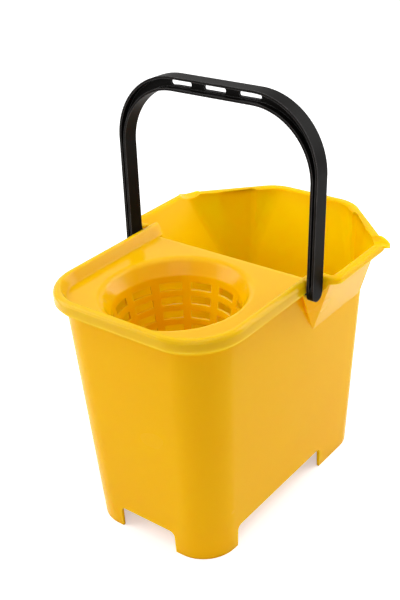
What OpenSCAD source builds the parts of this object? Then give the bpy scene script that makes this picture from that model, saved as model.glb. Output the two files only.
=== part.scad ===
/* [Bucket] */
// Length over the front and rear rims
bucket_l = 355; // [320:1:400]
// Height of the rims above the floor
bucket_h = 280; // [240:1:330]
// Width over the flared rear rim
rear_w = 272; // [262:1:300]
// Width over the wringer's rim at the front
front_w = 223; // [214:1:232]
// Width of the body at floor level
base_w = 170; // [140:1:195]
// How far the front wall stands back from the front edge at floor level
base_front = 20.5; // [14:0.5:34]
// How far the rear wall stands in from the rear edge at floor level
base_rear = 43; // [30:1:60]
// How far the top of the front wall and side walls stands in from the wringer's rim
rim_overhang = 10.5; // [9.8:0.1:13]
// How far the top of the upright rear wall stands in from the rear edge
top_rear = 23.5; // [18:0.5:30]
// Wall thickness of the moulding
wall_t = 2.8; // [2:0.1:3.4]
// Thickness of the floor
floor_t = 3; // [2:0.5:6]
// Radius of the front corners at floor level
front_base_r = 40; // [25:1:50]
// Radius of the front corners at the top
front_top_r = 47; // [44:1:56]
// Radius of the rear corners of the body
rear_r = 38; // [25:1:50]

/* [Feet] */
// Height of the feet
foot_h = 26.5; // [16:0.5:40]
// Width of the arch between the two front feet and between the two rear feet
arch_w = 74; // [40:1:84]
// Length of each front foot along the side
front_foot_l = 45; // [42:1:70]
// Length of each rear foot along the side
rear_foot_l = 86; // [60:1:110]
// Radius in the upper corners of each arch
arch_r = 6; // [2:0.5:12]
// Thickness of the feet
foot_t = 3; // [2:0.5:5]

/* [Rear flare] */
// Depth of the flare below the rim
flare_h = 77; // [60:1:110]
// Distance from the handle's pivot back to the lowest point of the flare's front edge
flare_front = 30; // [20:1:45]
// Length of the slanted corner along the bucket
shoulder_l = 79; // [60:1:95]
// Width of the straight part of the rear rim
rear_flat_w = 104; // [80:1:130]
// Width of the rear rim from its outer edge to the wall
lip_w = 7; // [6.2:0.2:9]
// Height of the rear rim's turned-down edge
lip_h = 6.5; // [5:0.5:9]
// Radius of the rear rim's outer edge
lip_round = 3; // [2.6:0.1:3.4]
// Radius of the rear corners of the rim
rear_bend_r = 44; // [30:1:48]
// Thickness of the rims
rim_t = 2.4; // [2:0.1:2.8]

/* [Pouring spouts] */
// Radius of the hollow of each spout
spout_r = 17; // [14:0.5:20]
// Depth of each spout below the rim
spout_dip = 5; // [3:0.5:5.5]
// How far each spout stands out from the corner of the rim
spout_reach = 6.5; // [5:0.5:8]
// Radius of the tip of each spout, seen from above
spout_tip_r = 12.5; // [11.5:0.5:14]
// Direction of each spout, away from straight out sideways
spout_angle = 35; // [25:1:45]

/* [Front edge of the bucket] */
// Height of the upright edge that carries the wringer
upstand_h = 11.5; // [9:0.5:13]
// Thickness of that upright edge
upstand_t = 2.4; // [2:0.1:2.8]
// Thickness of the shelf below the upright edge
shelf_t = 2.4; // [2:0.1:4]

/* [Wringer] */
// Height of the wringer's outer rim
hook_h = 12.5; // [11:0.5:13]
// Wall thickness of the wringer
wringer_t = 2.4; // [2:0.1:2.6]
// Width of the top of the wringer's rim
band_w = 9; // [8.6:0.1:9.6]
// Radius of the outer edge of the rim
rim_round = 5.5; // [4.6:0.1:5.6]
// Radius of the inner edge of the rim
band_round = 3; // [2.8:0.1:3.2]
// Radius in the corner between the rim and the deck
deck_round = 3; // [2:0.5:4]
// Lean of the rim's inner side from upright
slope_lean = 24; // [18:1:28]
// Depth of the deck below the rim
deck_drop = 11.5; // [10.5:0.5:11.5]
// Distance from the handle's pivot back to the rear edge of the deck
deck_rear = 17; // [12:1:22]
// Radius of the rounded ends of the rim
arm_r = 8; // [6:0.5:9]
// Depth of the stiffening flange under the rear edge of the deck
deck_flange = 9; // [5:1:16]
// Slope of the funnel below its mouth
funnel_slope = 60; // [56:1:64]
// Radius of the rounding round the funnel's mouth
mouth_round = 9; // [6:0.5:10]
// Radius of the rounding where the funnel runs into the sieve
throat_round = 12; // [8:0.5:16]
// Distance of the sieve's centre from the front edge
sieve_y = 93.5; // [93:0.5:98]

/* [Sieve] */
// Radius at the top of the sieve
sieve_top_r = 65.5; // [58:0.5:68]
// Radius at the bottom of the sieve
sieve_base_r = 45; // [36:1:54]
// Drop from the deck to the top of the sieve
funnel_drop = 18.5; // [14:0.5:24]
// Depth of the sieve
sieve_h = 108; // [100:1:118]
// Number of columns of slots
slot_columns = 12; // [8:1:14]
// Number of rows of slots
slot_rows = 6; // [3:1:6]
// Width of a slot as an angle
slot_angle = 21; // [14:1:23]
// Height of a slot
slot_h = 8.5; // [5:0.5:11]
// Height from one row of slots to the next
slot_pitch = 15.5; // [12.5:0.5:16.5]
// Radius of each drain hole in the sieve's base
drain_r = 4; // [2.5:0.5:5]

/* [Handle] */
// Gap between the wringer's rim and each side of the handle
handle_gap = 3.2; // [2.8:0.1:6]
// Height of the handle above its pivot
handle_h = 193.5; // [180:0.5:220]
// Width of the handle along the bucket
handle_d = 17.5; // [14:0.5:20]
// Thickness of each leg
leg_t = 7.8; // [7:0.1:9]
// Depth of the grip
grip_t = 14.5; // [12:0.5:18]
// Outer radius of the handle's corners
bend_r = 74; // [60:1:85]
// How far each leg leans in towards its pivot
leg_lean = 1.8; // [0:0.1:2.2]
// Thickness of the handle's web and flanges
web_t = 2.6; // [2:0.1:3.2]
// Length of each slot in the grip
grip_slot_l = 26; // [16:1:32]
// Height of each slot in the grip
grip_slot_h = 5.6; // [4:0.2:6.4]
// Distance from one grip slot to the next
grip_slot_pitch = 41.7; // [36:0.1:44]
// Angle at which the handle leans back against its stop
rest_lean = 2.8; // [1:0.1:3.5]

/* [Pivots] */
// Distance of the handle's pivot from the front edge
pivot_reach = 166.5; // [160:0.5:172]
// Depth of the pivot below the rim
pivot_drop = 13.5; // [13:0.5:15]
// Radius of each pivot stud
stud_r = 5; // [3.5:0.5:5.5]
// Radius of the boss around each bore
boss_r = 7.6; // [7.2:0.1:9]
// Depth of each bore
bore_l = 4.2; // [3:0.1:4.4]

/* [Fits] */
// Radial running clearance of a stud in its bore
stud_clearance = 0.06; // [0.02:0.01:0.1]
// Gap between the wringer and the edge of the bucket that carries it
seat_gap = 0.35; // [0.3:0.05:0.5]
// Gap between the flange under the deck and the bucket's side walls
flange_gap = 0.55; // [0.4:0.05:1]
// Gap between a leg of the handle and the bucket around it
leg_gap = 0.9; // [0.6:0.1:1.4]
// Gap between the upright handle and its stop
stop_gap = 0.4; // [0.3:0.1:1]

/* [Hidden] */
$fn = 96;
slice = 0.2;
over = 1;
round_t = 0.8;

yellow = [0.98, 0.74, 0.02];
black = [0.09, 0.09, 0.1];

front_edge = -bucket_l / 2;
rear_edge = bucket_l / 2;
pivot_y = front_edge + pivot_reach;
pivot_z = bucket_h - pivot_drop;

module both_sides() {
    children();
    mirror([1, 0, 0])
        children();
}

// ---- outlines and swept rims ----

// Points of an arc about a centre, from one angle to another
function arc(c, r, a0, a1, n = 4) = [for (i = [0 : n])
    let (a = a0 + (a1 - a0) * i / n)
    [c.x + r * cos(a), c.y + r * sin(a)]];

// A path is a list of [x, y, radius], anticlockwise seen from above
function heading(a, b) = atan2(b.y - a.y, b.x - a.x);
function bend(path, i) =
    (heading(path[i], path[i + 1]) - heading(path[i - 1], path[i]) + 720) % 360;
function ends_cut(path, i) =
    (i == 0 || i == len(path) - 1) ? 0 : path[i].z * tan(bend(path, i) / 2);

// Sweeps a profile of [distance in from the path, height] along a path
module sweep(path, profile) {
    for (i = [0 : len(path) - 2]) {
        start_cut = ends_cut(path, i);
        run = norm([path[i + 1].x - path[i].x, path[i + 1].y - path[i].y])
            - start_cut - ends_cut(path, i + 1);
        translate([path[i].x, path[i].y, 0])
            rotate([0, 0, heading(path[i], path[i + 1])])
                translate([start_cut, 0, 0])
                    rotate([90, 0, 90])
                        linear_extrude(run)
                            polygon(profile);
    }
    for (i = [1 : len(path) - 2])
        translate([path[i].x, path[i].y, 0])
            rotate([0, 0, heading(path[i - 1], path[i])])
                translate([-ends_cut(path, i), path[i].z, 0])
                    rotate([0, 0, -90])
                        rotate_extrude(angle = bend(path, i))
                            intersection() {
                                translate([path[i].z, 0])
                                    mirror([1, 0])
                                        polygon(profile);
                                square([path[i].z + over, bucket_h + over]);
                            }
}

// Points of a path's line, drawn in by inset, with its corners in steps of about 7 degrees
function off(p, a, d) = [p.x + d * cos(a), p.y + d * sin(a)];
function rim_line(path, inset) = concat(
    [off(path[0], heading(path[0], path[1]) + 90, inset)],
    [for (i = [1 : len(path) - 2])
        let (h = heading(path[i - 1], path[i]),
             steps = ceil(bend(path, i) / 7),
             centre = off(off(path[i], h, -ends_cut(path, i)), h + 90, path[i].z))
        for (k = [0 : steps])
            off(centre, h - 90 + bend(path, i) * k / steps, path[i].z - inset)],
    [off(path[len(path) - 1], heading(path[len(path) - 2], path[len(path) - 1]) + 90, inset)]);

// The same as sweep, in flat facets, for a path with odd angles
module faceted_sweep(path, profile) {
    n = len(rim_line(path, 0));
    m = len(profile);
    polyhedron(
        points = [for (p = profile) for (q = rim_line(path, p[0])) [q.x, q.y, p[1]]],
        faces = concat(
            [for (j = [0 : m - 1]) for (i = [0 : n - 2])
                [j * n + i, (j + 1) % m * n + i, (j + 1) % m * n + i + 1, j * n + i + 1]],
            [[for (j = [m - 1 : -1 : 0]) j * n]],
            [[for (j = [0 : m - 1]) j * n + n - 1]]),
        convexity = 6);
}

// ---- bucket body ----

function blend(low, high, z) = low + (high - low) * z / bucket_h;
function half_w(z) = blend(base_w, front_w - 2 * rim_overhang, z) / 2;
function front_y(z) = front_edge + blend(base_front, rim_overhang, z);
function rear_y(z) = rear_edge - blend(base_rear, top_rear, z);
function front_r(z) = blend(front_base_r, front_top_r, z);

// The rear corners are round at the floor and slanted at the top
shoulder_y = rear_edge - shoulder_l;
slant = 90 - atan2(rear_w / 2 - rear_flat_w / 2, shoulder_l);
flat_turn = 90 - slant;
top_slant_r = 14;
slant_line = rear_w / 2 * cos(slant) + shoulder_y * sin(slant) - lip_w - 2;
side_corner = (slant_line - half_w(bucket_h) * cos(slant)) / sin(slant);
flat_corner = (slant_line - rear_y(bucket_h) * sin(slant)) / cos(slant);
base_disc = [half_w(0) - rear_r, rear_y(0) - rear_r];
side_disc = [half_w(bucket_h) - top_slant_r, side_corner - top_slant_r * tan(slant / 2)];
flat_disc = [flat_corner - top_slant_r * tan(flat_turn / 2), rear_y(bucket_h) - top_slant_r];
function rear_disc_r(z) = blend(rear_r, top_slant_r, z);

module corner_disc(centre, r, z) {
    translate([centre.x, centre.y, z])
        cylinder(r = r, h = slice, $fn = 48);
}

// Rear corner of the body at a height, drawn in by inset
module rear_corner(z, inset) {
    corner_disc(blend(base_disc, side_disc, z), rear_disc_r(z) - inset, z);
    corner_disc(blend(base_disc, flat_disc, z), rear_disc_r(z) - inset, z);
}

// Tapered body up to a height, drawn in by inset
module tub(inset, top) {
    hull()
        both_sides()
            for (z = [0, top - slice]) {
                corner_disc([half_w(z) - front_r(z), front_y(z) + front_r(z)],
                    front_r(z) - inset, z);
                rear_corner(z, inset);
            }
}

// ---- rear rim and flare ----

// Front face of the rear rim: the stop for the upright handle
stop_y = pivot_y + handle_d / 2 / cos(rest_lean) + pivot_drop * tan(rest_lean) + stop_gap;
jog_r = 12;
shoulder_r = 20;
jog_x = front_w / 2 - 4;
rear_path = [
    [jog_x, stop_y, 0], [rear_w / 2, stop_y, jog_r],
    [rear_w / 2, shoulder_y, shoulder_r], [rear_flat_w / 2, rear_edge, rear_bend_r],
    [-rear_flat_w / 2, rear_edge, rear_bend_r], [-rear_w / 2, shoulder_y, shoulder_r],
    [-rear_w / 2, stop_y, jog_r], [-jog_x, stop_y, 0]
];

// The rim's top falls away inwards to the flare's wall, and its root sits inside that wall
wall_in = lip_w + wall_t;
inner_round = 3.6;
rim_fall = 2.3;
root_in = wall_in + 1.8;
root_z = bucket_h - rim_fall - 1.4;
rear_rim_profile = concat(
    [[0, bucket_h - lip_h]],
    arc([lip_round, bucket_h - lip_round], lip_round, 180, 90),
    arc([wall_in - inner_round + 1, bucket_h - inner_round], inner_round, 90, 35),
    [[root_in, bucket_h - rim_fall - 0.4], [root_in, root_z], [wall_in - 0.6, root_z],
        [wall_in - 0.8, bucket_h - rim_t], [rim_t, bucket_h - rim_t], [rim_t, bucket_h - lip_h]]);

flare_z = bucket_h - flare_h;
flare_run = (rear_w / 2 - lip_w - half_w(flare_z)) / flare_h;
flare_tip_y = pivot_y + flare_front;
root = 0.5;
rim_step = 0.6;
gusset_set = 2.7;

// Body of the flare up to a height, drawn in by inset
module flare(inset, top) {
    d = lip_w + inset + (bucket_h - top) * flare_run;
    x1 = rear_w / 2 - d;
    y1 = rear_edge - d;
    shoulder_in = shoulder_y - d * tan(slant / 2);
    flat_in = rear_flat_w / 2 - d * tan(flat_turn / 2);
    side_r = shoulder_r - lip_w - 1;
    flat_r = rear_bend_r - lip_w - 3;
    hull()
        both_sides() {
            translate([x1 - side_r, stop_y + lip_w + inset, top - slice])
                cube([side_r, side_r, slice]);
            corner_disc([x1 - side_r, shoulder_in - side_r * tan(slant / 2)], side_r, top - slice);
            corner_disc([flat_in - flat_r * tan(flat_turn / 2), y1 - flat_r], flat_r, top - slice);
            rear_corner(flare_z - root, inset + root);
            translate([half_w(flare_z) - inset - root - 1, flare_tip_y + inset, flare_z - root])
                cube([1, 1, slice]);
        }
}

// ---- pivots and the front edge that carries the wringer ----

seat_x = front_w / 2 - wringer_t - seat_gap;
seat_top = bucket_h - wringer_t - seat_gap;
shelf_top = seat_top - upstand_h;
shelf_base = shelf_top - shelf_t;
upstand_r = front_top_r + rim_overhang - wringer_t - seat_gap;
upstand_round = rim_round - wringer_t - seat_gap;
shelf_in = seat_x - half_w(shelf_top) + wall_t / 2;
front_path = [
    [-seat_x, stop_y + 4, 0], [-seat_x, front_edge + wringer_t + seat_gap, upstand_r],
    [seat_x, front_edge + wringer_t + seat_gap, upstand_r], [seat_x, stop_y + 4, 0]
];
front_rim_profile = concat(
    [[0, shelf_base + round_t]],
    arc([upstand_round, seat_top - upstand_round], upstand_round, 180, 110, 3),
    [[upstand_t, seat_top - round_t / 4], [upstand_t, shelf_top], [shelf_in, shelf_top],
        [shelf_in, shelf_base - wall_t], [shelf_in - wall_t, shelf_base], [round_t, shelf_base]]);

// Cylinder along X about the handle's pivot
module pivot_rod(r, x0, x1) {
    translate([x0, pivot_y, pivot_z])
        rotate([0, 90, 0])
            cylinder(r = r, h = x1 - x0);
}

// Block on the side that carries the pivot, swept down into the flare's tip
gusset_x = half_w(pivot_z) - 2;
module gusset() {
    jog_out = rear_w / 2 - lip_w - 4;
    jog_z = bucket_h - lip_h - root;
    hull() {
        translate([seat_x - root - over, pivot_y, pivot_z])
            rotate([0, 90, 0])
                cylinder(r = boss_r - root, h = over, $fn = 32);
        translate([gusset_x, pivot_y + gusset_set, shelf_base - boss_r / 2])
            cube([over, over, boss_r / 2]);
        translate([half_w(flare_z) - 2 - root, flare_tip_y - root, flare_z - 2 * root])
            cube([2, 2, over]);
        translate([jog_out, stop_y + 2, jog_z])
            cube([3, 7, over]);
        translate([gusset_x, stop_y + 2, jog_z])
            cube([3, 7, over]);
    }
}

// Room for one leg of the handle as it swings forward
module leg_room() {
    room_r = handle_d / 2 + leg_gap;
    translate([seat_x, 0, 0])
        rotate([90, 0, 90])
            linear_extrude(rear_w)
                polygon(concat(
                    [for (a = [-90 : 10 : 0]) [pivot_y + room_r * cos(a), pivot_z + room_r * sin(a)]],
                    [[stop_y + root, pivot_z + root], [stop_y + root, 2 * bucket_h],
                        [front_edge - over, 2 * bucket_h], [front_edge - over, pivot_z - room_r]]));
}

// Room for the wringer's rim above the shelf
arm_rear = deck_rear + arm_r;
module seat_room() {
    room_x = front_w / 2 + seat_gap;
    translate([-room_x, front_edge - over, shelf_top])
        cube([2 * room_x, pivot_y + arm_rear + 2 * leg_gap - front_edge + over, bucket_h]);
}

// ---- spouts ----

slant_dir = heading(rear_path[2], rear_path[3]);
spout_set = 7;
spout_raise = spout_r - spout_dip;
module at_spout() {
    translate([rear_w / 2 + spout_set * cos(slant_dir), shoulder_y + spout_set * sin(slant_dir), 0])
        rotate([0, 0, spout_angle])
            children();
}

// Level round bar along a spout, from the inside of the bucket outwards
module spout_bar(r, l) {
    translate([-l / 2, 0, bucket_h + spout_raise])
        rotate([0, 90, 0])
            cylinder(r = r, h = l);
}

module spout_shell() {
    depth = spout_dip + rim_t + over;
    at_spout()
        intersection() {
            spout_bar(spout_r + rim_t, 4 * spout_tip_r);
            translate([spout_reach - spout_tip_r, 0, bucket_h - depth])
                cylinder(r = spout_tip_r, h = depth - slice);
        }
}

// ---- feet ----

// Plan of the hollow under the floor
module under_plan() {
    front_c = [half_w(0) - front_base_r, front_y(0) + front_base_r];
    rear_c = [half_w(0) - rear_r, rear_y(0) - rear_r];
    both_sides() {
        translate(front_c)
            circle(front_base_r - foot_t);
        translate(rear_c)
            circle(rear_r - foot_t);
        polygon([[0, front_c.y], [half_w(0) - foot_t, front_c.y],
            [half_w(0) - foot_t, rear_c.y], [0, rear_c.y]]);
        polygon([[0, front_y(0) + foot_t], [front_c.x, front_y(0) + foot_t],
            [front_c.x, rear_y(0) - foot_t], [0, rear_y(0) - foot_t]]);
    }
}

// Arch of a width, open at the floor
module arch_plan(w) {
    translate([-w / 2, -over])
        square([w, foot_h + over - arch_r]);
    translate([arch_r - w / 2, -over])
        square([w - 2 * arch_r, foot_h + over]);
    for (x = [arch_r - w / 2, w / 2 - arch_r])
        translate([x, foot_h - arch_r])
            circle(arch_r);
}

module feet_cuts() {
    side_front = front_y(0) + front_foot_l;
    side_w = rear_y(0) - rear_foot_l - side_front;
    translate([0, 0, -over])
        linear_extrude(foot_h + over)
            under_plan();
    translate([0, bucket_l, 0])
        rotate([90, 0, 0])
            linear_extrude(2 * bucket_l)
                arch_plan(arch_w);
    translate([-rear_w, side_front + side_w / 2, 0])
        rotate([90, 0, 90])
            linear_extrude(2 * rear_w)
                arch_plan(side_w);
}

module bucket_body() {
    difference() {
        union() {
            tub(0, bucket_h - rim_fall - rim_step);
            flare(0, bucket_h - rim_fall);
            both_sides()
                gusset();
        }
        both_sides()
            leg_room();
    }
}

module bucket() {
    color(yellow)
    difference() {
        union() {
            difference() {
                union() {
                    bucket_body();
                    faceted_sweep(rear_path, rear_rim_profile);
                    both_sides()
                        spout_shell();
                }
                intersection() {
                    tub(wall_t, bucket_h + over);
                    translate([-rear_w, -bucket_l, foot_h + floor_t])
                        cube([2 * rear_w, 2 * bucket_l, bucket_h]);
                }
                flare(wall_t, bucket_h + over);
                seat_room();
                both_sides()
                    at_spout()
                        spout_bar(spout_r, 5 * spout_tip_r);
            }
            sweep(front_path, front_rim_profile);
            both_sides()
                pivot_rod(boss_r, seat_x - bore_l, seat_x);
        }
        both_sides()
            pivot_rod(stud_r + stud_clearance, seat_x - bore_l - over, seat_x + over);
        feet_cuts();
    }
}

// ---- wringer ----

deck_z = bucket_h - deck_drop;
deck_y = pivot_y + deck_rear;
rim_r = front_top_r + rim_overhang;
top_c = [band_w - band_round, bucket_h - band_round];
slope_top = arc(top_c, band_round, 90, slope_lean)[4];
foot_rise = deck_round * (1 - sin(slope_lean));
foot_c = [slope_top.x + (slope_top.y - deck_z - foot_rise) * tan(slope_lean)
    + deck_round * cos(slope_lean), deck_z + deck_round];
deck_in = foot_c.x;
rim_c = [rim_round, bucket_h - rim_round];
wringer_path = [
    [-front_w / 2, deck_y, 0], [-front_w / 2, front_edge, rim_r],
    [front_w / 2, front_edge, rim_r], [front_w / 2, deck_y, 0]
];

// Outer line of the rim from its lower edge over the band and down to the deck
rim_outside = concat(
    [[0, bucket_h - hook_h]], arc(rim_c, rim_round, 180, 90), arc(top_c, band_round, 90, slope_lean),
    arc(foot_c, deck_round, 180 + slope_lean, 270));
// Inner line of the rim from the deck's underside back to the lower edge
rim_inside = concat(
    arc(foot_c, deck_round + wringer_t, 270, 180 + slope_lean),
    arc(top_c, band_round - wringer_t, slope_lean, 90, 2),
    arc(rim_c, rim_round - wringer_t, 90, 180), [[wringer_t, bucket_h - hook_h]]);
wringer_rim_profile = concat(
    rim_outside, [[deck_in + 2, deck_z], [deck_in + 2, deck_z - wringer_t]], rim_inside);

// Plan of the deck
module deck_plan(d) {
    r = rim_r - d;
    for (s = [-1, 1])
        translate([s * (front_w / 2 - rim_r), front_edge + rim_r])
            circle(r);
    translate([rim_r - front_w / 2, front_edge + d])
        square([front_w - 2 * rim_r, deck_y - front_edge - d]);
    translate([d - front_w / 2, front_edge + rim_r])
        square([front_w - 2 * d, deck_y - front_edge - rim_r]);
}

// Solid rounded end of one arm of the rim, with the channel that fits over the upright edge
module arm_end() {
    end_r = arm_r + over;
    channel_in = wringer_t + 2 * seat_gap + upstand_t;
    at_end = [front_w / 2, deck_y + 2 * arm_r, 0];
    difference() {
        intersection() {
            translate(at_end)
                rotate([90, 0, 0])
                    linear_extrude(2 * arm_r)
                        mirror([1, 0])
                            polygon(concat(rim_outside, [[deck_in, deck_z - wringer_t],
                                [channel_in, deck_z - wringer_t], [channel_in, bucket_h - hook_h]]));
            translate([front_w / 2 - arm_r - over / 2, deck_y, deck_z - wringer_t - over])
                cylinder(r = end_r, h = bucket_h - deck_z + wringer_t + 2 * over);
        }
        translate(at_end)
            rotate([90, 0, 0])
                linear_extrude(2 * arm_r)
                    mirror([1, 0])
                        polygon(concat(
                            [[channel_in, bucket_h - hook_h - over],
                                [channel_in, bucket_h - wringer_t]],
                            arc(rim_c, rim_round - wringer_t, 90, 180),
                            [[wringer_t, bucket_h - hook_h - over]]));
    }
}

sieve_z = deck_z - funnel_drop;
base_z = sieve_z - sieve_h;
sieve_slope = atan2(sieve_h, sieve_top_r - sieve_base_r);
throat_c = [sieve_top_r + throat_round * sin(sieve_slope),
    sieve_z - throat_round * cos(sieve_slope)];
throat_top = arc(throat_c, throat_round, 90 + sieve_slope, 90 + funnel_slope)[4];
mouth_fall = mouth_round * (1 - cos(funnel_slope));
mouth_r = throat_top.x + (deck_z - mouth_fall - throat_top.y) / tan(funnel_slope)
    + mouth_round * sin(funnel_slope);
mouth_c = [mouth_r, deck_z - mouth_round];

// Line of the funnel from the top of the sieve up to the deck, moved out by t
function funnel_line(t) = concat(
    arc(throat_c, throat_round - t, 90 + sieve_slope, 90 + funnel_slope),
    arc(mouth_c, mouth_round - t, 90 + funnel_slope, 90, 6));

module funnel_shell() {
    outside = funnel_line(wringer_t);
    inside = funnel_line(0);
    rotate_extrude()
        polygon(concat(
            [[0, base_z], [sieve_base_r + wringer_t - 1, base_z], [sieve_base_r + wringer_t, base_z + 1]],
            outside, [for (i = [len(inside) - 1 : -1 : 0]) inside[i]],
            [[sieve_base_r, base_z + wringer_t], [0, base_z + wringer_t]]));
}

module throat_room() {
    rotate_extrude()
        polygon(concat([[0, base_z + wringer_t], [sieve_base_r, base_z + wringer_t]], funnel_line(0),
            [[mouth_r, bucket_h - hook_h / 2], [0, bucket_h]]));
}

// Slots in columns round the sieve and rows down it
module sieve_slots() {
    row_top = sieve_z - slot_pitch / 2 + slot_h / 2 - 2;
    reach = sieve_top_r + 10;
    step = 360 / slot_columns;
    intersection() {
        translate([0, 0, base_z])
            linear_extrude(sieve_h)
                for (i = [0 : slot_columns - 1]) {
                    a = (i + 0.5) * step;
                    polygon([[0, 0],
                        reach * [cos(a - slot_angle / 2), sin(a - slot_angle / 2)],
                        reach * [cos(a + slot_angle / 2), sin(a + slot_angle / 2)]]);
                }
        for (row = [0 : slot_rows - 1])
            translate([0, 0, row_top - slot_h - row * slot_pitch])
                difference() {
                    cylinder(r = reach - 4, h = slot_h);
                    translate([0, 0, -over])
                        cylinder(r = sieve_base_r / 2, h = slot_h + 2 * over);
                }
    }
}

module wringer() {
    notch_r = stud_r + leg_gap;
    flange_w = 2 * (half_w(deck_z - deck_flange) - wall_t - flange_gap);
    color(yellow)
    difference() {
        union() {
            sweep(wringer_path, wringer_rim_profile);
            both_sides()
                arm_end();
            translate([0, 0, deck_z - wringer_t])
                linear_extrude(wringer_t)
                    deck_plan(deck_in);
            translate([-flange_w / 2, deck_y - wringer_t, deck_z - deck_flange])
                cube([flange_w, wringer_t, deck_flange]);
            translate([0, front_edge + sieve_y, 0])
                funnel_shell();
        }
        translate([0, front_edge + sieve_y, 0]) {
            throat_room();
            sieve_slots();
            translate([0, 0, base_z - over]) {
                cylinder(r = drain_r, h = wringer_t + 2 * over);
                for (ring = [1, 2], i = [0 : 6 * ring - 1])
                    rotate([0, 0, i * 60 / ring])
                        translate([ring * (sieve_base_r - 2 * drain_r) / 2.2, 0, 0])
                            cylinder(r = drain_r, h = wringer_t + 2 * over, $fn = 24);
            }
        }
        both_sides() {
            pivot_rod(notch_r, seat_x - over, rear_w / 2);
            translate([seat_x - over, pivot_y - notch_r, pivot_z - notch_r])
                cube([rear_w / 2 - seat_x, 2 * notch_r, notch_r]);
        }
    }
}

// ---- handle ----

handle_w = front_w + 2 * (handle_gap + leg_t);

// Plan of a bow: w wide, h high, with corner radius r and feet drawn in by lean
module bow_plan(w, h, r, lean) {
    cx = w / 2 - r;
    cy = h - r;
    for (s = [-1, 1])
        translate([s * cx, cy])
            circle(r);
    polygon([[-w / 2 + lean, 0], [-w / 2, cy], [-cx, h], [cx, h], [w / 2, cy], [w / 2 - lean, 0]]);
}

// Band between the outer edge, drawn in by d0, and the line drawn in by d1 towards the inside
module outer_band(d) {
    difference() {
        bow_plan(handle_w, handle_h, bend_r, leg_lean);
        translate([0, -over])
            bow_plan(handle_w - 2 * d, handle_h - d + over, bend_r - d, leg_lean);
    }
}

inner_r = bend_r - leg_t;
module inner_band(d) {
    difference() {
        bow_plan(handle_w - 2 * leg_t + 2 * d, handle_h - grip_t + d, inner_r + d, leg_lean);
        translate([0, -over])
            bow_plan(handle_w - 2 * leg_t, handle_h - grip_t + over, inner_r, leg_lean);
    }
}

module full_band() {
    difference() {
        bow_plan(handle_w, handle_h, bend_r, leg_lean);
        translate([0, -over])
            bow_plan(handle_w - 2 * leg_t, handle_h - grip_t + over, inner_r, leg_lean);
    }
}

module grip_slots() {
    run = grip_slot_l - grip_slot_h;
    for (x = [-grip_slot_pitch, 0, grip_slot_pitch])
        translate([x, handle_h - grip_t / 2]) {
            square([run, grip_slot_h], center = true);
            for (s = [-1, 1])
                translate([s * run / 2, 0])
                    circle(grip_slot_h / 2, $fn = 32);
        }
}

module handle() {
    leg_out = handle_w / 2 - leg_lean;
    color(black)
    translate([0, pivot_y, pivot_z])
        rotate([-rest_lean, 0, 0]) {
            rotate([90, 0, 0]) {
                linear_extrude(handle_d, center = true) {
                    outer_band(web_t);
                    inner_band(web_t);
                }
                linear_extrude(web_t, center = true)
                    difference() {
                        full_band();
                        grip_slots();
                    }
            }
            both_sides() {
                translate([leg_out - leg_t, 0, 0])
                    rotate([0, 90, 0])
                        cylinder(r = handle_d / 2, h = leg_t);
                translate([seat_x - bore_l + stop_gap, 0, 0])
                    rotate([0, 90, 0])
                        cylinder(r = stud_r, h = leg_out - leg_t / 2 - seat_x + bore_l);
            }
        }
}

bucket();
wringer();
handle();
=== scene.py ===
import bpy, bmesh
from math import radians
from mathutils import Matrix, Vector


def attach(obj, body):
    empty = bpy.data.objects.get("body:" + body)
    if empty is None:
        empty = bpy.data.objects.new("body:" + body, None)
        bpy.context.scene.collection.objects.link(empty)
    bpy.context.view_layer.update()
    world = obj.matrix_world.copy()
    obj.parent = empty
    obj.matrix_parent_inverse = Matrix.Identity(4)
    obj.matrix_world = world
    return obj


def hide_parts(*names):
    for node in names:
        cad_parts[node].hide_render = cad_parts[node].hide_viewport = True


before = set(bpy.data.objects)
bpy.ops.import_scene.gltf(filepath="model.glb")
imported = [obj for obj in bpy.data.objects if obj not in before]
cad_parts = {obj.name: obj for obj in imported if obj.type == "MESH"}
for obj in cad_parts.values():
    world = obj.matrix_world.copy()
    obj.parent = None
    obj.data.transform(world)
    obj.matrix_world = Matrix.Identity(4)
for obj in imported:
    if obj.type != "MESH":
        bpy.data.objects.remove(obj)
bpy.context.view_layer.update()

scene = bpy.context.scene
print("frame loaded")

skinDetail = {"wave": 2.0, "grain": 1.0}
wearHighlightSamples = 4

def newGroup(name, inputs, outputs):
    group = bpy.data.node_groups.new(name, "ShaderNodeTree")
    for label, kind, value in inputs:
        socket = group.interface.new_socket(label, in_out="INPUT", socket_type=kind)
        socket.default_value = value
    for label, kind in outputs:
        group.interface.new_socket(label, in_out="OUTPUT", socket_type=kind)
    return group, group.nodes.new("NodeGroupInput"), group.nodes.new("NodeGroupOutput")

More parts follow.
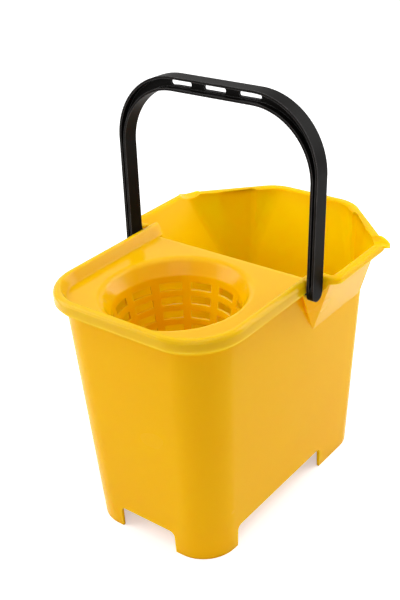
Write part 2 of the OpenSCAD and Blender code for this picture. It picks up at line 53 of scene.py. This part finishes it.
def mouldedSkin():
    # slow waviness of a moulded wall, with a fine grain on top
    group, start, end = newGroup("mouldedSkin",
        [("Wave Scale", "NodeSocketFloat", 18.0), ("Grain Scale", "NodeSocketFloat", 900.0),
         ("Grain Share", "NodeSocketFloat", 0.1)],
        [("Height", "NodeSocketFloat"), ("Mottle", "NodeSocketFloat")])
    make, join = group.nodes.new, group.links.new
    place = make("ShaderNodeTexCoord")
    wave = make("ShaderNodeTexNoise")
    wave.inputs["Detail"].default_value = skinDetail["wave"]
    grain = make("ShaderNodeTexNoise")
    grain.inputs["Detail"].default_value = skinDetail["grain"]
    mixed = make("ShaderNodeMix")
    join(place.outputs["Object"], wave.inputs["Vector"])
    join(place.outputs["Object"], grain.inputs["Vector"])
    join(start.outputs["Wave Scale"], wave.inputs["Scale"])
    join(start.outputs["Grain Scale"], grain.inputs["Scale"])
    join(start.outputs["Grain Share"], mixed.inputs["Factor"])
    join(wave.outputs["Fac"], mixed.inputs["A"])
    join(grain.outputs["Fac"], mixed.inputs["B"])
    join(mixed.outputs["Result"], end.inputs["Height"])
    join(wave.outputs["Fac"], end.inputs["Mottle"])
    return group

def edgeWearAndHighlight():
    # corners that handling polishes and pales, together with a painted highlight along the edges, found by
    # how far a rounded normal turns
    group, start, end = newGroup("edgeWearAndHighlight",
        [("Low", "NodeSocketFloat", 0.04), ("High", "NodeSocketFloat", 0.5),
         ("Reach", "NodeSocketFloat", 0.002), ("Patch Scale", "NodeSocketFloat", 60.0)],
        [("Wear And Highlight", "NodeSocketFloat")])
    make, join = group.nodes.new, group.links.new
    rounded = make("ShaderNodeBevel")
    rounded.samples = wearHighlightSamples
    shape = make("ShaderNodeNewGeometry")
    turned = make("ShaderNodeVectorMath")
    turned.operation = "DOT_PRODUCT"
    ramp = make("ShaderNodeMapRange")
    flip = make("ShaderNodeMath")  # 0 on a flat face, more where the surface turns
    flip.operation = "SUBTRACT"
    flip.inputs[0].default_value = 1.0
    place = make("ShaderNodeTexCoord")
    patch = make("ShaderNodeTexNoise")
    both = make("ShaderNodeMath")
    both.operation = "MULTIPLY"
    join(start.outputs["Reach"], rounded.inputs["Radius"])
    join(rounded.outputs["Normal"], turned.inputs[0])
    join(shape.outputs["Normal"], turned.inputs[1])
    join(turned.outputs["Value"], flip.inputs[1])
    join(flip.outputs["Value"], ramp.inputs["Value"])
    join(start.outputs["Low"], ramp.inputs["From Min"])
    join(start.outputs["High"], ramp.inputs["From Max"])
    join(place.outputs["Object"], patch.inputs["Vector"])
    join(start.outputs["Patch Scale"], patch.inputs["Scale"])
    join(ramp.outputs["Result"], both.inputs[0])
    join(patch.outputs["Fac"], both.inputs[1])
    join(both.outputs["Value"], end.inputs["Wear And Highlight"])
    return group

skinGroup = mouldedSkin()
wearHighlightGroup = edgeWearAndHighlight()

# the paler edge colour in each look is partly wear, partly a painted highlight along rims and edges
bodyYellow = {
    "deep": (0.945, 0.435, 0.0002, 1), "pale": (0.98, 0.475, 0.0004, 1), "wornAndHighlit": (1.0, 0.66, 0.04, 1),
    "roughLow": 0.2, "roughHigh": 0.3, "waveScale": 11.0, "grainScale": 480.0, "grainShare": 0.03,
    "bump": 0.05, "bumpDepth": 0.0004, "specular": 0.05, "wearHighlightHigh": 0.35,
    "glow": 0.7, "glowReach": (0.009, 0.014, 0.003)
}
wringerYellow = {
    "deep": (0.955, 0.45, 0.0002, 1), "pale": (0.985, 0.49, 0.0004, 1), "wornAndHighlit": (1.0, 0.68, 0.05, 1),
    "roughLow": 0.12, "roughHigh": 0.18, "waveScale": 14.0, "grainScale": 520.0, "grainShare": 0.02,
    "bump": 0.03, "bumpDepth": 0.0004, "specular": 0.15, "wearHighlightHigh": 0.35,
    "glow": 0.75, "glowReach": (0.010, 0.015, 0.003)
}
# on the black handle the pale edge colour is mostly a painted highlight along the flange edges, with some
# wear
blackPlastic = {
    "deep": (0.0035, 0.003, 0.0026, 1), "pale": (0.0065, 0.0056, 0.0048, 1), "wornAndHighlit": (0.14, 0.137, 0.14, 1),
    "roughLow": 0.4, "roughHigh": 0.5, "waveScale": 30.0, "grainScale": 900.0, "grainShare": 0.4,
    "bump": 0.2, "bumpDepth": 0.0003, "specular": 0.035, "wearHighlightHigh": 0.25,
    "glow": 0.0, "glowReach": (0.001, 0.001, 0.001)
}
plasticIor = 1.49
mottleSpan = (0.1, 0.9)  # the roughness goes from low to high between these values of the mottle

def plastic(name, look):
    # colour and roughness drift with the waviness, and edges are paler: partly wear, partly a painted
    # highlight
    material = bpy.data.materials.new(name)
    material.use_nodes = True
    tree = material.node_tree
    make, join = tree.nodes.new, tree.links.new
    shader = tree.nodes["Principled BSDF"]
    skin = make("ShaderNodeGroup")
    skin.node_tree = skinGroup
    skin.inputs["Wave Scale"].default_value = look["waveScale"]
    skin.inputs["Grain Scale"].default_value = look["grainScale"]
    skin.inputs["Grain Share"].default_value = look["grainShare"]
    wearHighlight = make("ShaderNodeGroup")
    wearHighlight.node_tree = wearHighlightGroup
    wearHighlight.inputs["High"].default_value = look["wearHighlightHigh"]
    tone = make("ShaderNodeMix")
    tone.data_type = "RGBA"
    tone.inputs["A"].default_value = look["deep"]
    tone.inputs["B"].default_value = look["pale"]
    # paler edges: wear together with a painted highlight
    wearHighlightMix = make("ShaderNodeMix")
    wearHighlightMix.data_type = "RGBA"
    wearHighlightMix.inputs["B"].default_value = look["wornAndHighlit"]
    gloss = make("ShaderNodeMapRange")
    gloss.inputs["From Min"].default_value, gloss.inputs["From Max"].default_value = mottleSpan
    gloss.inputs["To Min"].default_value = look["roughLow"]
    gloss.inputs["To Max"].default_value = look["roughHigh"]
    bump = make("ShaderNodeBump")
    bump.inputs["Strength"].default_value = look["bump"]
    bump.inputs["Distance"].default_value = look["bumpDepth"]
    join(skin.outputs["Mottle"], tone.inputs["Factor"])
    join(tone.outputs["Result"], wearHighlightMix.inputs["A"])
    join(wearHighlight.outputs["Wear And Highlight"], wearHighlightMix.inputs["Factor"])
    join(wearHighlightMix.outputs["Result"], shader.inputs["Base Color"])
    join(skin.outputs["Mottle"], gloss.inputs["Value"])
    join(gloss.outputs["Result"], shader.inputs["Roughness"])
    join(skin.outputs["Height"], bump.inputs["Height"])
    join(bump.outputs["Normal"], shader.inputs["Normal"])
    shader.inputs["IOR"].default_value = plasticIor
    shader.inputs["Specular IOR Level"].default_value = look["specular"]
    shader.inputs["Subsurface Weight"].default_value = look["glow"]
    shader.inputs["Subsurface Radius"].default_value = look["glowReach"]
    shader.inputs["Subsurface Scale"].default_value = 1.0  # so that glowReach is in metres
    return material

bodyMaterial = plastic("bodyYellow", bodyYellow)
wringerMaterial = plastic("wringerYellow", wringerYellow)
handleMaterial = plastic("blackPlastic", blackPlastic)
print("finishes made")

meshMend = {"merge": 0.00003, "sliver": 0.00002, "flat": 1}  # metres, metres and degrees
rimSeam = {"height": 0.2771, "near": 0.00012, "behind": 0.1, "lift": 0.0006}

def closeRimSeam(bm):
    # the top of the tub's wall comes up into the underside of the rear rim
    top = [v for v in bm.verts
           if abs(v.co.z - rimSeam["height"]) < rimSeam["near"] and v.co.y > rimSeam["behind"]]
    bmesh.ops.translate(bm, verts=top, vec=(0, 0, rimSeam["lift"]))
    print("rim seam closed at", len(top), "points")

def finishNode(node, body, material, edges, mend=None):
    # a merged copy of the node, its edges rounded off
    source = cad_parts[node]
    mesh = source.data.copy()
    mesh.name = node + "Piece"
    mesh.materials.clear()
    piece = bpy.data.objects.new(node + "_piece", mesh)
    scene.collection.objects.link(piece)
    bm = bmesh.new()
    bm.from_mesh(mesh)
    bmesh.ops.remove_doubles(bm, verts=bm.verts, dist=meshMend["merge"])
    bmesh.ops.dissolve_degenerate(bm, edges=bm.edges, dist=meshMend["sliver"])
    bmesh.ops.dissolve_limit(bm, angle_limit=radians(meshMend["flat"]), verts=bm.verts, edges=bm.edges)
    if mend:
        mend(bm)
    bm.to_mesh(mesh)
    bm.free()
    mesh.materials.append(material)
    mesh.shade_smooth()
    soft = piece.modifiers.new("roundEdges", "BEVEL")
    soft.width = edges["width"]
    soft.segments = edges["segments"]
    soft.limit_method = "ANGLE"
    soft.angle_limit = radians(edges["angle"])
    piece.modifiers.new("evenShade", "WEIGHTED_NORMAL")
    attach(piece, body)
    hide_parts(node)
    print("finished", node, len(mesh.polygons))

handleEdges = {"width": 0.0009, "segments": 3, "angle": 35}
bucketEdges = {"width": 0.0008, "segments": 3, "angle": 19}
wringerEdges = {"width": 0.0007, "segments": 3, "angle": 19}
finishNode("handle", "handle", handleMaterial, handleEdges)
finishNode("bucket", "bucket", bodyMaterial, bucketEdges, closeRimSeam)
finishNode("wringer", "wringer", wringerMaterial, wringerEdges)

def seenRays(tree):
    # 1 where the background is seen straight, in a gloss or through something clear
    rays = tree.nodes.new("ShaderNodeLightPath")
    total = rays.outputs["Is Camera Ray"]
    for kind in ("Is Glossy Ray", "Is Transmission Ray"):
        either = tree.nodes.new("ShaderNodeMath")
        either.operation = "MAXIMUM"
        tree.links.new(total, either.inputs[0])
        tree.links.new(rays.outputs[kind], either.inputs[1])
        total = either.outputs["Value"]
    return total

floorLook = {
    "size": 12.0, "tone": (0.9, 0.9, 0.9, 1), "rough": 0.8,
    "liftNear": 0.42, "liftFar": 0.75, "liftReach": (0.5, 2.2)
}

def paleFloor(look):
    # a floor that keeps the object's shadow and pales away from it
    material = bpy.data.materials.new("paleFloor")
    material.use_nodes = True
    tree = material.node_tree
    make, join = tree.nodes.new, tree.links.new
    shader = tree.nodes["Principled BSDF"]
    shader.inputs["Base Color"].default_value = look["tone"]
    shader.inputs["Roughness"].default_value = look["rough"]
    shader.inputs["Specular IOR Level"].default_value = 0.0
    shader.inputs["Emission Color"].default_value = (1, 1, 1, 1)
    lift = make("ShaderNodeMath")
    lift.operation = "MULTIPLY"
    spot = make("ShaderNodeTexCoord")
    away = make("ShaderNodeVectorMath")
    away.operation = "LENGTH"
    spread = make("ShaderNodeMapRange")
    spread.inputs["From Min"].default_value, spread.inputs["From Max"].default_value = look["liftReach"]
    spread.inputs["To Min"].default_value = look["liftNear"]
    spread.inputs["To Max"].default_value = look["liftFar"]
    join(spot.outputs["Object"], away.inputs[0])
    join(away.outputs["Value"], spread.inputs["Value"])
    join(spread.outputs["Result"], lift.inputs[1])
    join(seenRays(tree), lift.inputs[0])
    join(lift.outputs["Value"], shader.inputs["Emission Strength"])
    return material

def layFloor(look):
    mesh = bpy.data.meshes.new("floor")
    bm = bmesh.new()
    bmesh.ops.create_grid(bm, x_segments=1, y_segments=1, size=look["size"] / 2)
    bm.to_mesh(mesh)
    bm.free()
    floor = bpy.data.objects.new("floor", mesh)
    scene.collection.objects.link(floor)
    mesh.materials.append(paleFloor(look))

surroundLook = {"ambient": 0.38, "seen": 1.0}  # how bright it lights the object, and how bright it is seen

def lightSurround(look):
    world = bpy.data.worlds.new("studio")
    scene.world = world
    world.use_nodes = True
    tree = world.node_tree
    surround = tree.nodes["Background"]
    surround.inputs["Color"].default_value = (1, 1, 1, 1)
    level = tree.nodes.new("ShaderNodeMapRange")
    level.inputs["To Min"].default_value = look["ambient"]
    level.inputs["To Max"].default_value = look["seen"]
    tree.links.new(seenRays(tree), level.inputs["Value"])
    tree.links.new(level.outputs["Result"], surround.inputs["Strength"])

softboxes = {
    "topBox": {"place": (0.1, 0.1, 2.4), "target": (0, 0, 0.2), "size": (1.8, 1.8), "power": 20.5},
    "leftBox": {"place": (-1.36, -0.93, 1.1), "target": (0, -0.08, 0.26), "size": (1.3, 1.6), "power": 21.0},
    "backBox": {"place": (0.75, 1.33, 1.1), "target": (0, -0.08, 0.26), "size": (1.3, 1.6), "power": 21.0},
    "frontBox": {"place": (1.0, -1.75, 1.5), "target": (0, 0, 0.2), "size": (1.4, 1.4), "power": 8.5}
}

def hangSoftbox(name, look):
    lamp = bpy.data.lights.new(name, "AREA")
    lamp.shape = "RECTANGLE"
    lamp.size, lamp.size_y = look["size"]
    lamp.energy = look["power"]
    holder = bpy.data.objects.new(name, lamp)
    holder.location = look["place"]
    aim = Vector(look["target"]) - Vector(look["place"])
    holder.rotation_euler = aim.to_track_quat("-Z", "Y").to_euler()
    scene.collection.objects.link(holder)

cameraLook = {
    "place": (0.5833, -0.7535, 0.7414), "right": (0.78944, 0.61125, -0.05623),
    "up": (-0.25495, 0.40983, 0.87581), "lens": 60.53, "sensor": 36, "farthest": 50
}

def placeCamera(look):
    camera = bpy.data.cameras.new("camera")
    camera.lens = look["lens"]
    camera.sensor_width = look["sensor"]
    camera.clip_end = look["farthest"]
    holder = bpy.data.objects.new("camera", camera)
    scene.collection.objects.link(holder)
    right = Vector(look["right"]).normalized()
    up = Vector(look["up"])
    up = (up - right * right.dot(up)).normalized()  # square to right
    turn = Matrix((right, up, right.cross(up))).transposed()
    holder.matrix_world = Matrix.Translation(look["place"]) @ turn.to_4x4()
    scene.camera = holder

layFloor(floorLook)
lightSurround(surroundLook)
for boxName, boxLook in softboxes.items():
    hangSoftbox(boxName, boxLook)
placeCamera(cameraLook)
scene.view_settings.view_transform = "Standard"
print("stage set")
